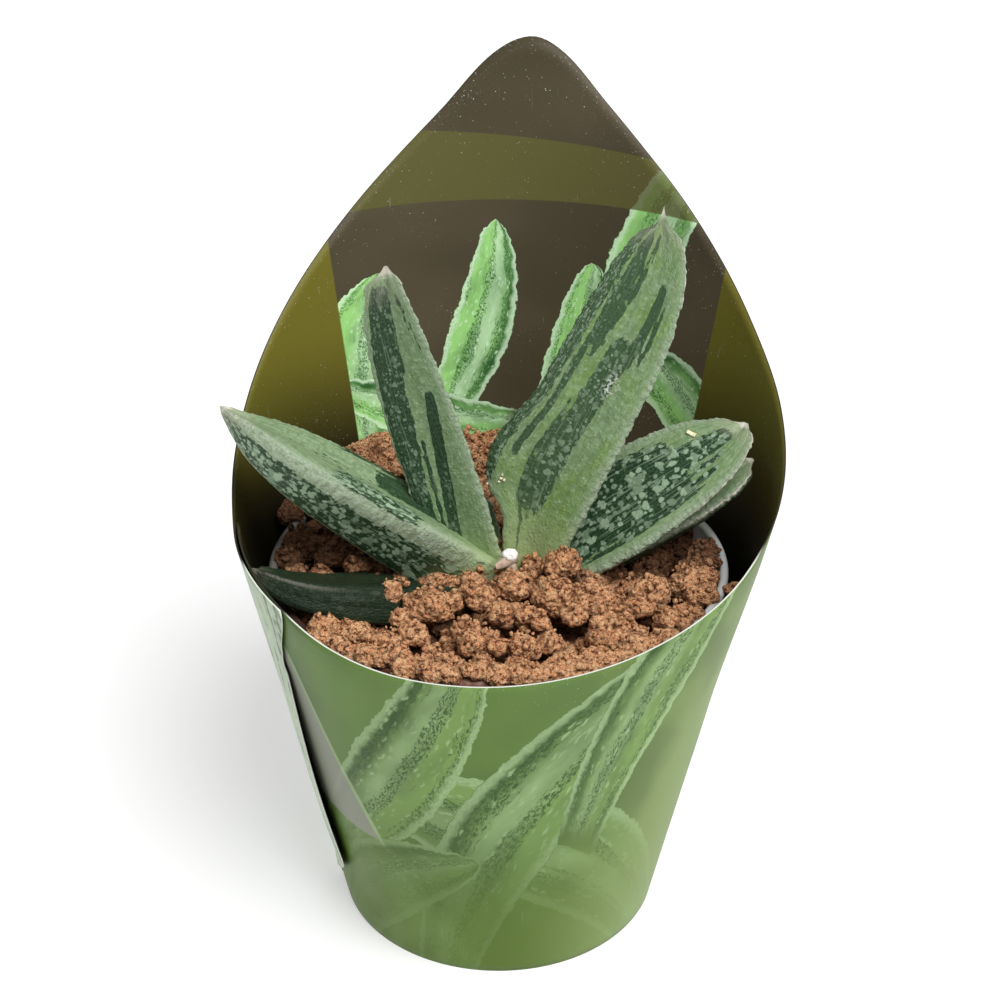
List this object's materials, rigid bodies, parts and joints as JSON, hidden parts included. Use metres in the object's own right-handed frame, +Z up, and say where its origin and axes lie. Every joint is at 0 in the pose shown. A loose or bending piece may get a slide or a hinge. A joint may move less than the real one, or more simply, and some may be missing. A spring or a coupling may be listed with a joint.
{
  "type": "potted gasteria",
  "caption": "Young gasteria with broad, tongue-shaped, pale-spotted leaves in a plastic nursery pot, standing in a cone-shaped card sleeve with a low front and a tall pointed back panel.",
  "frame": {"origin": "centre of the pot's underside, on the surface that the pot stands on", "axes": "+Z up, -Y towards the sleeve's low front edge, +Y towards its tall back panel, +X to the right as seen from the front"},
  "size_m": [0.1245, 0.1354, 0.1905],
  "materials": {
    "printed_card": "thin card, printed in soft greens on both faces under a slight gloss, with bare white cut edges",
    "pot_plastic": "whitish, slightly translucent thin plastic",
    "growing_medium": "terracotta-coloured, dull, crumbly and porous lumps",
    "leaf": "firm, waxy, dark green with pale grey-green spots and bands and fine raised warts",
    "leaf_young": "firm, waxy, light green",
    "stem": "dull yellow-green, scarred",
    "dry_stalk": "papery, pinkish buff",
    "perlite": "chalky white, finely pitted"
  },
  "bodies": {
    "root": {"sleeve": "printed_card", "nursery_pot": "pot_plastic", "substrate": "growing_medium", "leaf_left_low": "leaf", "leaf_left_upright": "leaf", "leaf_right_tall": "leaf", "leaf_right_low": "leaf", "leaf_right_under": "leaf", "leaf_left_ground": "leaf", "leaf_inner": "leaf_young", "stem": "stem", "dry_stalk": "dry_stalk", "perlite_grain": "perlite"}
  },
  "joints": []
}
